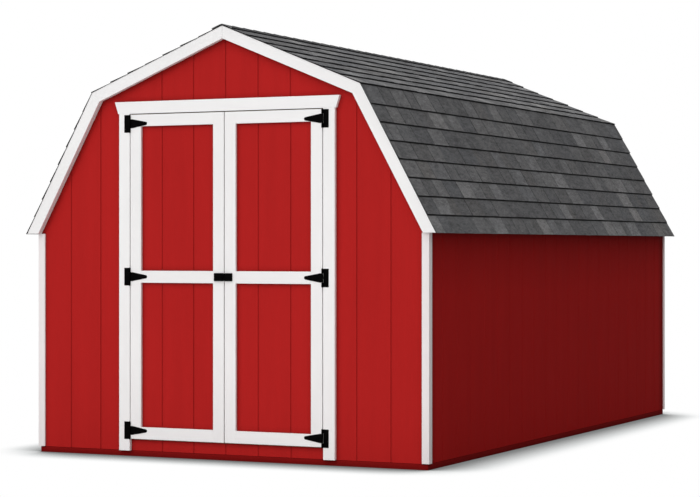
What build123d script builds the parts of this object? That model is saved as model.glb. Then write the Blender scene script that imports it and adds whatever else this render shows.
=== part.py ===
from build123d import *
import math
import os

# Timber gambrel barn, 8 ft wide and 14 ft long, with 4 ft side walls and a
# pair of outward-opening doors in the front gable.
#
# Frame: origin on the ground at the centre of the footprint, +X to the right
# along the front, +Y from the front gable to the rear gable, +Z up.
# All sizes are in millimetres.

IN = 25.4

# ---------------------------------------------------------------- dimensions
width = 96 * IN               # over the side wall siding
length = 168 * IN             # over the gable siding
siding_t = 9.5                # grooved panel siding
siding_bottom = 33.0          # lower edge of the siding over the floor frame
base_top = 31.5               # top of the base strips under the siding

lumber_t = 38.1               # sawn lumber thickness
lumber_w = 88.9               # sawn lumber width
deck_t = 15.9                 # floor sheathing
joist_pitch = 406.4
stud_pitch = 406.4

# Gambrel outline, half section, on the outer face of the shingles
ridge_z = 2426.0
knuckle_x, knuckle_z = 848.6, 2076.2
eave_x, eave_z = 1293.4, 1264.9
shingle_t = 7.6
roof_deck_t = 11.1
rafter_depth = 88.9
roof_overhang = 50.8          # shingles beyond the gable siding
fly_t = 38.1                  # fly rafter against the gable siding
rake_t = 9.5                  # rake board on the fly rafter
rake_low = 73.9               # lower edge of the rake boards below the outline
fly_low = 68.6                # lower edge of the fly rafters below the outline
ridge_cap_rise = 1.6          # cap above the outline at the ridge
ridge_cap_edge = 3.0          # and at its lower edges
ridge_cap_half = 66.0
soffit_t = 9.5
ridge_gap = 0.5               # half gap between mating pieces at the ridge

# Doorway
door_half = 24 * IN           # half width between the casings
casing_w = 69.8
casing_t = 22.2
casing_bottom = 31.8
head_z0 = 1944.6
head_z1 = 2012.8
head_half0, head_half1 = 686.0, 708.5
door_gap = 5.6                # gap round the leaves
seam_half = 3.0               # half gap between the leaves
leaf_z0 = 100.4
leaf_z1 = head_z0 - door_gap
panel_t = 9.5
trim_t = 17.0
stile_w = 68.0
top_rail_z = 1872.6
mid_rail_z = (986.4, 1054.4)
bottom_rail_z = 168.4
back_frame_t = 38.1
back_frame_w = 88.9
back_frame_set = 8.0          # back frame is set in from the panel edge

# T-hinges
hinge_z = (148.0, 1020.3, 1887.7)
hinge_leaf_t = 2.5
hinge_plate_h = 100.0
hinge_plate_x = 34.3          # width of the fixed plate from the casing edge
hinge_strap_l = 114.3
hinge_root_h = 50.8
hinge_tip_r = 9.5
knuckle_r = 4.8
pin_r = 2.5
pin_clear = 0.10
knuckle_axial = 1.1

# Corner trims
corner_w = 42.9
corner_t = 11.1
corner_bottom = 34.0

# ------------------------------------------------------------ derived values
hx = width / 2                # side siding outer plane
hy = length / 2               # gable siding outer plane
ix, iy = hx - siding_t, hy - siding_t          # framing outer planes
wx = ix - lumber_w            # inner face of the side wall studs
deck_top = lumber_w + deck_t
plate_top = eave_z + soffit_t # top of the side wall plates
ang_u = math.atan2(ridge_z - knuckle_z, knuckle_x)
ang_l = math.atan2(knuckle_z - eave_z, eave_x - knuckle_x)
pin_x = door_half - door_gap / 2
pin_y = -hy - casing_t - 5.0


# ------------------------------------------------------------------- helpers
def box(x0, x1, y0, y1, z0, z1):
    """Rectangular solid between two corners."""
    x0, x1 = min(x0, x1), max(x0, x1)
    y0, y1 = min(y0, y1), max(y0, y1)
    z0, z1 = min(z0, z1), max(z0, z1)
    return Pos((x0 + x1) / 2, (y0 + y1) / 2, (z0 + z1) / 2) * Box(x1 - x0, y1 - y0, z1 - z0)


def prism_y(points, y0, y1):
    """Solid with an outline given in X and Z, running from y0 to y1."""
    y0, y1 = min(y0, y1), max(y0, y1)
    face = Face(Wire.make_polygon([(x, y0, z) for x, z in points], close=True))
    return Solid.extrude(face, Vector(0, y1 - y0, 0))


def prism_z(points, z0, z1):
    """Solid with an outline given in X and Y, running from z0 to z1."""
    face = Face(Wire.make_polygon([(x, y, z0) for x, y in points], close=True))
    return Solid.extrude(face, Vector(0, 0, z1 - z0))


def flip_x(points):
    return [(-x, z) for x, z in points]


def upper_z(x, d):
    """Height of the upper slope, a distance d inside the outline."""
    return ridge_z - d / math.cos(ang_u) - x * math.tan(ang_u)


def lower_x(z, d):
    """X of the lower slope at height z, a distance d inside the outline."""
    return eave_x - (z - eave_z) / math.tan(ang_l) - d / math.sin(ang_l)


def lower_z(x, d):
    return eave_z + (eave_x - d / math.sin(ang_l) - x) * math.tan(ang_l)


def knuckle(d):
    """Corner between the two slopes, a distance d inside the outline."""
    # intersection of the two offset lines
    a, b = math.tan(ang_u), math.tan(ang_l)
    zu = ridge_z - d / math.cos(ang_u)
    zl = eave_z + (eave_x - d / math.sin(ang_l)) * b
    x = (zl - zu) / (b - a)
    return (x, zu - a * x)


def roof_z(x, d):
    """Height of the whole outline at x, a distance d inside it."""
    x = abs(x)
    return upper_z(x, d) if x <= knuckle(d)[0] else lower_z(x, d)


def upper_piece(d0, d1, gap=ridge_gap):
    """Outline of a layer on the upper slope, from the ridge to the knuckle."""
    return [(gap, upper_z(gap, d0)), knuckle(d0), knuckle(d1), (gap, upper_z(gap, d1))]


def lower_piece(d0, d1, z_foot=eave_z):
    """Outline of a layer on the lower slope, from the knuckle to a level cut."""
    return [knuckle(d0), (lower_x(z_foot, d0), z_foot), (lower_x(z_foot, d1), z_foot), knuckle(d1)]


def both_sides(points, y0, y1):
    return [prism_y(points, y0, y1), prism_y(flip_x(points), y0, y1)]


def mirrored(solids):
    """The same solids on the other side of the X = 0 plane."""
    return [s.mirror(Plane.YZ) for s in solids]


nodes = {}


def add(name, *solids):
    flat = []
    for s in solids:
        flat += s if isinstance(s, list) else [s]
    nodes[name] = flat


# --------------------------------------------------------------------- floor
# Two long rims on edge, with joists between them; the first and last joists
# close the ends.
add("floor_rims",
    box(-ix, -ix + lumber_t, -iy, iy, 0, lumber_w),
    box(ix - lumber_t, ix, -iy, iy, 0, lumber_w))

joists = []
y = -iy + lumber_t / 2
ys = [y]
while y + joist_pitch < iy - lumber_t / 2 - 100:
    y += joist_pitch
    ys.append(y)
ys.append(iy - lumber_t / 2)
for y in ys:
    joists.append(box(-ix + lumber_t, ix - lumber_t, y - lumber_t / 2, y + lumber_t / 2, 0, lumber_w))
add("floor_joists", joists)
add("floor_deck", box(-ix, ix, -iy, iy, lumber_w, deck_top))
# Strips round the foot of the floor frame, flush with the siding above them.
add("base_strips",
    box(-hx, -ix, -hy, hy, 0, base_top), box(ix, hx, -hy, hy, 0, base_top),
    box(-ix, ix, -hy, -iy, 0, base_top), box(-ix, ix, iy, hy, 0, base_top))

# ------------------------------------------------------------ wall framing
sole_top = deck_top + lumber_t
side_plates = []
for s in (-1, 1):
    side_plates.append(box(s * wx, s * ix, -iy, iy, deck_top, sole_top))
    side_plates.append(box(s * wx, s * ix, -iy, iy, plate_top - lumber_t, plate_top))
add("side_wall_plates", side_plates)

stud_ys = [-iy + lumber_t / 2]
while stud_ys[-1] + stud_pitch < iy - lumber_t / 2 - 100:
    stud_ys.append(stud_ys[-1] + stud_pitch)
stud_ys.append(iy - lumber_t / 2)
studs = []
for s in (-1, 1):
    for y in stud_ys:
        studs.append(box(s * wx, s * ix, y - lumber_t / 2, y + lumber_t / 2,
                         sole_top, plate_top - lumber_t))
add("side_wall_studs", studs)

fy0, fy1 = -iy, -iy + lumber_w          # front gable framing, outer and inner
ry0, ry1 = iy - lumber_w, iy            # rear gable framing
jack_x1 = door_half + lumber_t          # outer face of the jack studs
add("end_wall_plates",
    box(-wx, -door_half, fy0, fy1, deck_top, sole_top),
    box(door_half, wx, fy0, fy1, deck_top, sole_top),
    box(-wx, wx, ry0, ry1, deck_top, sole_top))

rafter_d0 = shingle_t + roof_deck_t
rafter_d1 = rafter_d0 + rafter_depth


def gable_stud(x0, x1, y0, y1, z0):
    """Stud under the gable truss, its top cut to the rafters' underside."""
    k = knuckle(rafter_d1)[0]
    pts = [(x0, z0), (x1, z0), (x1, roof_z(x1, rafter_d1))]
    for kx in (k, -k):
        if x0 < kx < x1:
            pts.append((kx, roof_z(kx, rafter_d1)))
    if x0 < 0 < x1:
        pts.append((0, roof_z(0, rafter_d1)))
    pts.append((x0, roof_z(x0, rafter_d1)))
    return prism_y(pts, y0, y1)


end_studs = []
header_top = head_z0 + lumber_w
for x in (jack_x1 + lumber_t / 2, 885.0, wx - lumber_t / 2):
    end_studs.append(gable_stud(x - lumber_t / 2, x + lumber_t / 2, fy0, fy1, sole_top))
    end_studs.append(gable_stud(-x - lumber_t / 2, -x + lumber_t / 2, fy0, fy1, sole_top))
end_studs.append(gable_stud(-lumber_t / 2, lumber_t / 2, fy0, fy1, header_top))
for x in (-wx + lumber_t / 2, -812.8, -406.4, 0.0, 406.4, 812.8, wx - lumber_t / 2):
    end_studs.append(gable_stud(x - lumber_t / 2, x + lumber_t / 2, ry0, ry1, sole_top))
add("end_wall_studs", end_studs)

add("door_jack_studs",
    box(-jack_x1, -door_half, fy0, fy1, sole_top, head_z0),
    box(door_half, jack_x1, fy0, fy1, sole_top, head_z0))
add("door_header", box(-jack_x1, jack_x1, fy0, fy1, head_z0, header_top))

# -------------------------------------------------------------------- siding
sd = rafter_d0                          # siding runs up to the roof deck
k = knuckle(sd)
side_pts = [(door_half, siding_bottom), (hx, siding_bottom), (hx, lower_z(hx, sd)), k,
            (door_half, upper_z(door_half, sd))]
add("front_siding_right", prism_y(side_pts, -hy, -iy))
add("front_siding_left", prism_y(flip_x(side_pts), -hy, -iy))
add("front_siding_over_door",
    prism_y([(-door_half, head_z0), (door_half, head_z0), (door_half, upper_z(door_half, sd)),
             (0, upper_z(0, sd)), (-door_half, upper_z(door_half, sd))], -hy, -iy))
add("front_siding_under_door", box(-door_half, door_half, -hy, -iy, siding_bottom, leaf_z0 - door_gap))
add("rear_siding",
    prism_y([(-hx, siding_bottom), (hx, siding_bottom), (hx, lower_z(hx, sd)), k,
             (0, upper_z(0, sd)), (-k[0], k[1]), (-hx, lower_z(hx, sd))], iy, hy))
# side siding fits between the gable sheets
add("right_siding", box(ix, hx, -iy, iy, siding_bottom, eave_z))
add("left_siding", box(-hx, -ix, -iy, iy, siding_bottom, eave_z))

# -------------------------------------------------------------- corner trims
# Each front trim is an L of two legs, cut level under the rake and the eave.
# Each rear trim is one flat board on the gable, level with the front trim's side.
x_out, y_out = hx + corner_t, hy + corner_t
leg = [(x_out, -y_out), (x_out, -y_out + corner_w), (hx, -y_out + corner_w), (hx, -hy),
       (x_out - corner_w, -hy), (x_out - corner_w, -y_out)]
front_right_trim = prism_z(leg, corner_bottom, eave_z)
front_trims = [front_right_trim] + mirrored([front_right_trim])
rear_right_trim = box(x_out - corner_w, x_out, hy, y_out, corner_bottom, eave_z)
rear_trims = [rear_right_trim] + mirrored([rear_right_trim])
add("corner_trims", front_trims, rear_trims)

# --------------------------------------------------------------- roof trusses
# One truss over each pair of side wall studs. The inner ones carry plywood
# gussets on both faces; the end ones are held by the gable siding.
truss_ys = stud_ys
inner_ys = stud_ys[1:-1]
upper_r, lower_r, gussets = [], [], []
gusset_t = 11.1
gd = rafter_d0 + 1.5
for y in truss_ys:
    y0, y1 = y - lumber_t / 2, y + lumber_t / 2
    upper_r += both_sides(upper_piece(rafter_d0, rafter_d1), y0, y1)
    lower_r += both_sides(lower_piece(rafter_d0, rafter_d1, plate_top), y0, y1)
add("upper_rafters", upper_r)
add("lower_rafters", lower_r)


def on_upper(dist, d):
    """Point on the upper slope, dist up from the knuckle."""
    kx, kz = knuckle(d)
    return (kx - dist * math.cos(ang_u), kz + dist * math.sin(ang_u))


def on_lower(dist, d):
    kx, kz = knuckle(d)
    return (kx + dist * math.cos(ang_l), kz - dist * math.sin(ang_l))


knuckle_gusset = [on_upper(230, gd), knuckle(gd), on_lower(230, gd),
                  on_lower(190, rafter_d1), on_upper(190, rafter_d1)]
xg = 230 * math.cos(ang_u)
xh = 185 * math.cos(ang_u)
ridge_gusset = [(0, upper_z(0, gd)), (xg, upper_z(xg, gd)), (xh, upper_z(xh, rafter_d1)),
                (-xh, upper_z(xh, rafter_d1)), (-xg, upper_z(xg, gd))]
for y in inner_ys:
    for s in (-1, 1):
        a = y + s * lumber_t / 2
        b = a + s * gusset_t
        gussets += both_sides(knuckle_gusset, a, b)
        gussets.append(prism_y(ridge_gusset, a, b))
add("truss_gussets", gussets)

# ----------------------------------------------------------- gable overhangs
fly_u, fly_l, rake_u, rake_l = [], [], [], []
for s in (-1, 1):
    fly_u += both_sides(upper_piece(rafter_d0, fly_low), s * hy, s * (hy + fly_t))
    fly_l += both_sides(lower_piece(rafter_d0, fly_low), s * hy, s * (hy + fly_t))
    rake_u += both_sides(upper_piece(shingle_t, rake_low), s * (hy + fly_t), s * (hy + fly_t + rake_t))
    rake_l += both_sides(lower_piece(shingle_t, rake_low), s * (hy + fly_t), s * (hy + fly_t + rake_t))
add("fly_rafters_upper", fly_u)
add("fly_rafters_lower", fly_l)
add("rake_boards_upper", rake_u)
add("rake_boards_lower", rake_l)

# --------------------------------------------------------------------- eaves
soffit = [(hx, eave_z), (lower_x(eave_z, rafter_d0), eave_z),
          (lower_x(plate_top, rafter_d0), plate_top), (hx, plate_top)]
add("eave_soffits", both_sides(soffit, -hy, hy))

# ------------------------------------------------------------- roof covering
add("roof_deck_upper", both_sides(upper_piece(shingle_t, rafter_d0), -hy - fly_t, hy + fly_t))
add("roof_deck_lower", both_sides(lower_piece(shingle_t, rafter_d0), -hy - fly_t, hy + fly_t))
ys0, ys1 = -hy - roof_overhang, hy + roof_overhang
add("shingles_upper", both_sides(upper_piece(0, shingle_t), ys0, ys1))
add("shingles_lower", both_sides(lower_piece(0, shingle_t), ys0, ys1))
rc = ridge_cap_half * math.cos(ang_u)
cap = [(0, ridge_z), (rc, upper_z(rc, 0)), (rc, upper_z(rc, -ridge_cap_edge)),
       (0, ridge_z + ridge_cap_rise), (-rc, upper_z(rc, -ridge_cap_edge)), (-rc, upper_z(rc, 0))]
add("ridge_cap", prism_y(cap, ys0, ys1))

# ----------------------------------------------------------------- door trim
casing = box(door_half, door_half + casing_w, -hy - casing_t, -hy, casing_bottom, head_z0)
add("door_casings", casing, mirrored([casing]))
add("door_head_trim",
    prism_y([(-head_half0, head_z0), (head_half0, head_z0), (head_half1, head_z1), (-head_half1, head_z1)],
            -hy - casing_t, -hy))

# --------------------------------------------------------------- door leaves
# Built on the right of the centre line, and mirrored for the left leaf.
lx0, lx1 = seam_half, door_half - door_gap
yp0, yp1 = -hy - casing_t + trim_t, -hy - casing_t + trim_t + panel_t
yt0 = -hy - casing_t
leaf_panel = box(lx0, lx1, yp0, yp1, leaf_z0, leaf_z1)
leaf_stiles = [box(lx0, lx0 + stile_w, yt0, yp0, leaf_z0, leaf_z1),
               box(lx1 - stile_w, lx1, yt0, yp0, leaf_z0, leaf_z1)]
leaf_rails = [box(lx0 + stile_w, lx1 - stile_w, yt0, yp0, z0, z1)
              for z0, z1 in ((leaf_z0, bottom_rail_z), mid_rail_z, (top_rail_z, leaf_z1))]

# Flat framing behind the panel, clear of the deck, the posts and the header.
bx0, bx1 = lx0 + back_frame_set, lx1 - back_frame_set
bz0, bz1 = deck_top + 6.0, leaf_z1 - back_frame_set
yb0, yb1 = yp1, yp1 + back_frame_t
back = [box(bx0, bx0 + back_frame_w, yb0, yb1, bz0, bz1),
        box(bx1 - back_frame_w, bx1, yb0, yb1, bz0, bz1)]
zm = (mid_rail_z[0] + mid_rail_z[1]) / 2
for z0, z1 in ((bz0, bz0 + back_frame_w), (zm - back_frame_w / 2, zm + back_frame_w / 2),
               (bz1 - back_frame_w, bz1)):
    back.append(box(bx0 + back_frame_w + 1, bx1 - back_frame_w - 1, yb0, yb1, z0, z1))


def strap(z):
    """Tapered strap with its bored middle knuckle, on the right leaf."""
    h = hinge_root_h / 2 - 0.2
    x_tip = door_half - hinge_strap_l
    y0, y1 = yt0 - hinge_leaf_t, yt0
    pts = [(pin_x, z - h), (pin_x, z + h), (pin_x - 16, z + h)]
    for i in range(0, 13):
        a = math.radians(90 + i * 15)
        pts.append((x_tip + hinge_tip_r + hinge_tip_r * math.cos(a), z + hinge_tip_r * math.sin(a)))
    pts.append((pin_x - 16, z - h))
    plate = prism_y(pts, y0, y1)
    ring = Pos(pin_x, pin_y, z) * Cylinder(knuckle_r, 2 * h)
    bore = Pos(pin_x, pin_y, z) * Cylinder(pin_r + pin_clear, 4 * h)
    return (plate.fuse(ring.solid()) - bore).solid()


def hinge_fixed(z):
    """Casing plate with its two outer knuckles and the pin, on the right."""
    h = hinge_plate_h / 2
    g = hinge_root_h / 2 + knuckle_axial
    y0, y1 = yt0 - hinge_leaf_t, yt0
    notch = pin_x + knuckle_r + 0.8
    body = box(notch, door_half + hinge_plate_x, y0, y1, z - h, z + h)
    for s in (-1, 1):
        body = body + box(pin_x, notch, y0, y1, z + s * g, z + s * h)
        body = body + Pos(pin_x, pin_y, z + s * (g + h) / 2) * Cylinder(knuckle_r, h - g)
    body = body + Pos(pin_x, pin_y, z) * Cylinder(pin_r, 2 * h + 5.0)
    return body.solid()


straps = [strap(z) for z in hinge_z]
fixed = [hinge_fixed(z) for z in hinge_z]
add("hinge_plates", fixed, mirrored(fixed))

# Slide latch on the middle rails: its bolt housing is on the left leaf and its
# keeper on the right leaf, and they part at the seam.
lz0, lz1 = 998.5, 1043.5
lzm = (lz0 + lz1) / 2
latch_l = (box(-62.0, -seam_half, yt0 - 2.5, yt0, lz0, lz1)
           + box(-59.5, -seam_half, yt0 - 13.0, yt0 - 2.5, lz0 + 2.0, lz1 - 2.0)
           + Pos(-34.0, yt0 - 14.5, lzm) * Rot(90, 0, 0) * Cylinder(4.0, 5.0))
latch_r = (box(seam_half, 52.0, yt0 - 2.5, yt0, lz0, lz1)
           + box(seam_half, 49.5, yt0 - 13.0, yt0 - 2.5, lz0 + 2.0, lz1 - 2.0))

add("right_door_panel", leaf_panel)
add("right_door_stiles", leaf_stiles)
add("right_door_rails", leaf_rails)
add("right_door_back_frame", back)
add("right_door_hinge_straps", straps)
add("latch_keeper", latch_r.solid())
add("left_door_panel", mirrored([leaf_panel]))
add("left_door_stiles", mirrored(leaf_stiles))
add("left_door_rails", mirrored(leaf_rails))
add("left_door_back_frame", mirrored(back))
add("left_door_hinge_straps", mirrored(straps))
add("latch_bolt", latch_l.solid())

# -------------------------------------------------------------------- output
os.makedirs("parts", exist_ok=True)
for name, solids in nodes.items():
    shape = solids[0] if len(solids) == 1 else Compound(solids)
    export_step(shape, f"parts/{name}.step")
print(len(nodes), "nodes,", sum(len(s) for s in nodes.values()), "solids")
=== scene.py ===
import math
import random

import bmesh
import bpy
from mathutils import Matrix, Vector


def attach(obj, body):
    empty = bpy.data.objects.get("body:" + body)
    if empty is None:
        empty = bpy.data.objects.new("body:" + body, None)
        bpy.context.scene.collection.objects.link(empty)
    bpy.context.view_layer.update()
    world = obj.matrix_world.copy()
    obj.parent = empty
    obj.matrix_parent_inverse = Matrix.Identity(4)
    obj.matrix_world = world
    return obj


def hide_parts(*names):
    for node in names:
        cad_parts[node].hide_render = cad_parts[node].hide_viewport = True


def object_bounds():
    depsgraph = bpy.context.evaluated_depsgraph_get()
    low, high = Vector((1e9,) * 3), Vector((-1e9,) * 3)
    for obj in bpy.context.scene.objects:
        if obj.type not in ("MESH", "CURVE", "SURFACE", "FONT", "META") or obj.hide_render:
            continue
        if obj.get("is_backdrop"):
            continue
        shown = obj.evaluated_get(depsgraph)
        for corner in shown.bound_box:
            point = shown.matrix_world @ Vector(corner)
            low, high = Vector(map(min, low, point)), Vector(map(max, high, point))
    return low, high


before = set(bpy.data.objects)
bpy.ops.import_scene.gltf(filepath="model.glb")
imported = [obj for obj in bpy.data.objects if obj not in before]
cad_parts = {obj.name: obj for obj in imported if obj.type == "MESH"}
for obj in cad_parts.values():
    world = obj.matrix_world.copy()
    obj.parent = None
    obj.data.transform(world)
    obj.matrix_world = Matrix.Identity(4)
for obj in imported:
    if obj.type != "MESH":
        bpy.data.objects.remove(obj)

cad_lo, cad_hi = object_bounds()

# Timber gambrel barn. Shapes are written in millimetres, in the frame of the
# solids: origin on the ground under the middle, +X right along the front
# gable, +Y to the rear gable, +Z up. Meshes are made in metres.

MM = 0.001
IN = 25.4

# ------------------------------------------------------------------ dimensions
hx, hy = 48 * IN, 84 * IN
siding_t = 9.5
siding_bottom = 33.0
base_top = 31.5
ix, iy = hx - siding_t, hy - siding_t
lumber_t, lumber_w = 38.1, 88.9
deck_t = 15.9
deck_top = lumber_w + deck_t
sole_top = deck_top + lumber_t
pitch = 406.4
ridge_z = 2426.0
knuckle_x, knuckle_z = 848.6, 2076.2
eave_x, eave_z = 1293.4, 1264.9
shingle_t = 7.6
roof_deck_t = 11.1
rafter_d0 = shingle_t + roof_deck_t
rafter_d1 = rafter_d0 + 88.9
overhang = 50.8
fly_t, rake_t, rake_low, fly_low = 38.1, 9.5, 73.9, 68.6
soffit_t = 9.5
plate_top = eave_z + soffit_t
wx = ix - lumber_w
door_half = 24 * IN
casing_w, casing_t, casing_bottom = 69.8, 22.2, 31.8
head_z0, head_z1 = 1944.6, 2012.8
head_half0, head_half1 = 686.0, 708.5
door_gap, seam_half = 5.6, 3.0
leaf_z0, leaf_z1 = 100.4, head_z0 - 5.6
panel_t, trim_t, stile_w = 9.5, 17.0, 68.0
top_rail_z = 1872.6
mid_rail_z = (986.4, 1054.4)
bottom_rail_z = 168.4
hinge_z = (148.0, 1020.3, 1887.7)
pin_x = door_half - door_gap / 2
pin_y = -hy - casing_t - 5.0
yt0 = -hy - casing_t
yp0, yp1 = yt0 + trim_t, yt0 + trim_t + panel_t
corner_w, corner_t, corner_bottom = 42.9, 11.1, 34.0

ang_u = math.atan2(ridge_z - knuckle_z, knuckle_x)
ang_l = math.atan2(knuckle_z - eave_z, eave_x - knuckle_x)


def upper_z(x, d):
    return ridge_z - d / math.cos(ang_u) - x * math.tan(ang_u)


def lower_x(z, d):
    return eave_x - (z - eave_z) / math.tan(ang_l) - d / math.sin(ang_l)


def lower_z(x, d):
    return eave_z + (eave_x - d / math.sin(ang_l) - x) * math.tan(ang_l)


def knuckle(d):
    a, b = math.tan(ang_u), math.tan(ang_l)
    zu = ridge_z - d / math.cos(ang_u)
    zl = eave_z + (eave_x - d / math.sin(ang_l)) * b
    x = (zl - zu) / (b - a)
    return (x, zu - a * x)


def roof_z(x, d):
    x = abs(x)
    return upper_z(x, d) if x <= knuckle(d)[0] else lower_z(x, d)


# ------------------------------------------------------------------- materials
class Mat:
    """A small helper that wires up one procedural material."""

    def __init__(self, name, colour=(0.5, 0.5, 0.5), rough=0.6, spec=0.3):
        self.m = bpy.data.materials.new(name)
        self.m.use_nodes = True
        self.t = self.m.node_tree
        self.b = next(n for n in self.t.nodes if n.type == "BSDF_PRINCIPLED")
        self.b.inputs["Base Color"].default_value = (*colour, 1)
        self.b.inputs["Roughness"].default_value = rough
        self.b.inputs["Specular IOR Level"].default_value = spec
        self.m.diffuse_color = (*colour, 1)

    def put(self, socket, value):
        if isinstance(value, bpy.types.NodeSocket):
            self.t.links.new(value, socket)
        elif isinstance(value, (tuple, list)) and len(value) == 3 and socket.type == "RGBA":
            socket.default_value = (*value, 1)
        else:
            socket.default_value = value

    def node(self, kind, ins=None, **props):
        n = self.t.nodes.new(kind)
        for k, v in props.items():
            setattr(n, k, v)
        for k, v in (ins or {}).items():
            self.put(n.inputs[k], v)
        return n

    def obj(self):
        return self.node("ShaderNodeTexCoord").outputs["Object"]

    def attr(self, name, out="Fac"):
        return self.node("ShaderNodeAttribute", attribute_name=name).outputs[out]

    def scale(self, vec, s, rot=(0, 0, 0), loc=(0, 0, 0)):
        n = self.node("ShaderNodeMapping", {"Vector": vec})
        n.inputs["Scale"].default_value = s
        n.inputs["Rotation"].default_value = rot
        n.inputs["Location"].default_value = loc
        return n.outputs["Vector"]

    def noise(self, vec, scale, detail=4.0, rough=0.55, distort=0.0, out="Fac"):
        n = self.node("ShaderNodeTexNoise", {"Vector": vec, "Scale": scale, "Detail": detail,
                                             "Roughness": rough, "Distortion": distort})
        return n.outputs[out]

    def voronoi(self, vec, scale, out="Color", feature="F1", jitter=1.0):
        n = self.node("ShaderNodeTexVoronoi", {"Vector": vec, "Scale": scale, "Randomness": jitter},
                      feature=feature)
        return n.outputs[out]

    def math(self, op, a, b=0.5, c=None, clamp=False):
        n = self.node("ShaderNodeMath", operation=op, use_clamp=clamp)
        self.put(n.inputs[0], a)
        if len(n.inputs) > 1:
            self.put(n.inputs[1], b)
        if c is not None:
            self.put(n.inputs[2], c)
        return n.outputs[0]

    def range(self, v, a, b, c=0.0, d=1.0, smooth=False):
        n = self.node("ShaderNodeMapRange", {"Value": v, "From Min": a, "From Max": b,
                                             "To Min": c, "To Max": d})
        n.interpolation_type = "SMOOTHSTEP" if smooth else "LINEAR"
        return n.outputs["Result"]

    def mix(self, fac, a, b, blend="MIX"):
        n = self.node("ShaderNodeMix", data_type="RGBA", blend_type=blend)
        self.put(n.inputs["Factor"], fac)
        self.put([s for s in n.inputs if s.name == "A" and s.type == "RGBA"][0], a)
        self.put([s for s in n.inputs if s.name == "B" and s.type == "RGBA"][0], b)
        return next(s for s in n.outputs if s.type == "RGBA")

    def ramp(self, fac, stops, mode="LINEAR"):
        n = self.node("ShaderNodeValToRGB", {"Fac": fac})
        r = n.color_ramp
        r.interpolation = mode
        while len(r.elements) < len(stops):
            r.elements.new(0.5)
        for e, (p, c) in zip(r.elements, stops):
            e.position = p
            e.color = (*c, 1) if len(c) == 3 else c
        return n.outputs["Color"]

    def sep(self, vec):
        n = self.node("ShaderNodeSeparateXYZ", {"Vector": vec})
        return n.outputs

    def colour(self, c):
        self.put(self.b.inputs["Base Color"], c)

    def rough(self, r):
        self.put(self.b.inputs["Roughness"], r)

    def bump(self, height, strength=0.3, distance=0.001, under=None):
        n = self.node("ShaderNodeBump", {"Height": height, "Strength": strength, "Distance": distance})
        if under is not None:
            self.put(n.inputs["Normal"], under)
        self.t.links.new(n.outputs["Normal"], self.b.inputs["Normal"])
        return n.outputs["Normal"]


def red_paint(name, base, along=2, spec=0.06, side_painted_shade=False):
    """Satin red paint over a sheet embossed with a fine upright grain, with painted shade in its corners and, if
    asked, towards the sheet ends and under the eave.
    """
    m = Mat(name, base, 0.62, spec)
    o = m.obj()
    s = [30.0, 30.0, 30.0]
    s[along] = 1.6
    fine = m.noise(m.scale(o, tuple(s)), 6.0, 6.0, 0.62, 0.35)
    s2 = [7.0, 7.0, 7.0]
    s2[along] = 0.5
    broad = m.noise(m.scale(o, tuple(s2), loc=(3.1, 1.7, 0.4)), 2.0, 3.0, 0.5, 0.2)
    patch = m.noise(o, 1.3, 2.0, 0.5)
    tone = m.math("ADD", m.range(fine, 0.3, 0.7, -0.09, 0.09),
                  m.math("ADD", m.range(broad, 0.3, 0.7, -0.08, 0.08), m.range(patch, 0.3, 0.7, -0.05, 0.05)))
    dark = tuple(c * 0.80 for c in base)
    lite = tuple(min(1.0, c * 1.18 + 0.002) for c in base)
    paint = m.mix(m.math("ADD", tone, 0.5, clamp=True), dark, lite)
    # painted shade: the paint darkens in the corners, beside the trim and in the grooves, wherever ambient occlusion
    # finds a surface close by
    painted_shade_ao = m.node("ShaderNodeAmbientOcclusion", {"Distance": 0.036}, samples=6).outputs["AO"]
    paint = m.mix(m.range(painted_shade_ao, 0.45, 0.97, 0.50, 0.0), paint, tuple(c * 0.12 for c in base))
    if side_painted_shade:
        # painted shade: the side sheets darken towards their ends and under the eave
        end = m.math("ABSOLUTE", m.sep(o)[1])
        paint = m.mix(m.range(end, (hy - 110) * MM, hy * MM, 0.0, 0.68), paint, tuple(c * 0.10 for c in base))
        paint = m.mix(m.range(m.sep(o)[2], (eave_z - 340) * MM, eave_z * MM, 0.0, 0.26), paint,
                      tuple(c * 0.10 for c in base))
    m.colour(paint)
    m.rough(m.range(fine, 0.3, 0.7, 0.56, 0.70))
    pores = m.noise(m.scale(o, tuple(q * 4 for q in s)), 9.0, 3.0, 0.6)
    m.bump(m.math("ADD", m.range(fine, 0.35, 0.65), m.math("MULTIPLY", pores, 0.35)), 0.35, 0.0006)
    return m.m


def white_paint(name, base=(0.915, 0.908, 0.905)):
    """Satin white paint on sawn trim boards; the grain lies along each board."""
    m = Mat(name, base, 0.48, 0.35)
    g = m.attr("grain", "Vector")
    fine = m.noise(m.scale(g, (2.0, 46.0, 46.0)), 5.0, 5.0, 0.6, 0.3)
    broad = m.noise(m.scale(g, (1.2, 6.0, 6.0)), 2.0, 2.0, 0.5)
    mark = m.noise(m.scale(g, (6.0, 20.0, 20.0)), 3.0, 2.0, 0.5)
    tone = m.math("ADD", m.range(fine, 0.3, 0.7, -0.10, 0.10),
                  m.math("ADD", m.range(broad, 0.3, 0.7, -0.25, 0.25), m.range(m.attr("rnd"), 0, 1, -0.2, 0.2)))
    tone = m.math("ADD", tone, 0.55, clamp=True)
    m.colour(m.mix(tone, tuple(c * 0.955 for c in base), tuple(min(1, c * 1.03) for c in base)))
    m.rough(m.range(mark, 0.3, 0.7, 0.42, 0.56))
    m.bump(m.range(fine, 0.3, 0.7), 0.28, 0.0005)
    return m.m


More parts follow.
